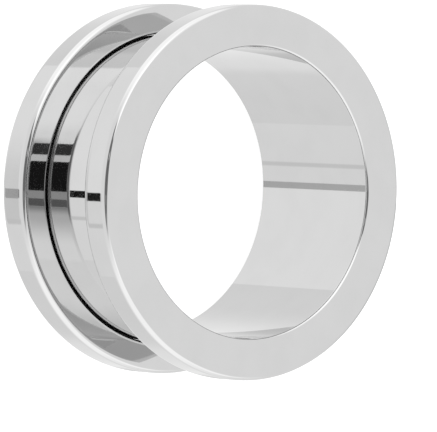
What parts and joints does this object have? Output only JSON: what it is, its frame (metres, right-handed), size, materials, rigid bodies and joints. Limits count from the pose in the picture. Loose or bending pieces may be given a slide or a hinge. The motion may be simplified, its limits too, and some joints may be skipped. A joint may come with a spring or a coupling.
{
  "type": "ear tunnel",
  "caption": "Short open steel tube for a stretched ear lobe, with a flat flange fixed at the front and a flat flanged ring screwed on behind.",
  "frame": {"origin": "centre of the screw ring's back face, on the surface that the tunnel lies on", "axes": "+Z along the tube, from the screw ring's back face to the front flange; X and Y are equal"},
  "size_m": [0.024, 0.024, 0.0109],
  "materials": {
    "polished_steel": "mirror polished"
  },
  "bodies": {
    "ring": {"screw_ring": "polished_steel"},
    "barrel": {"flanged_barrel": "polished_steel"}
  },
  "joints": [
    {"name": "unscrew", "type": "slide", "parent": "ring", "child": "barrel", "axis": [0, 0, 1], "range_m": [0, 0.012]}
  ]
}
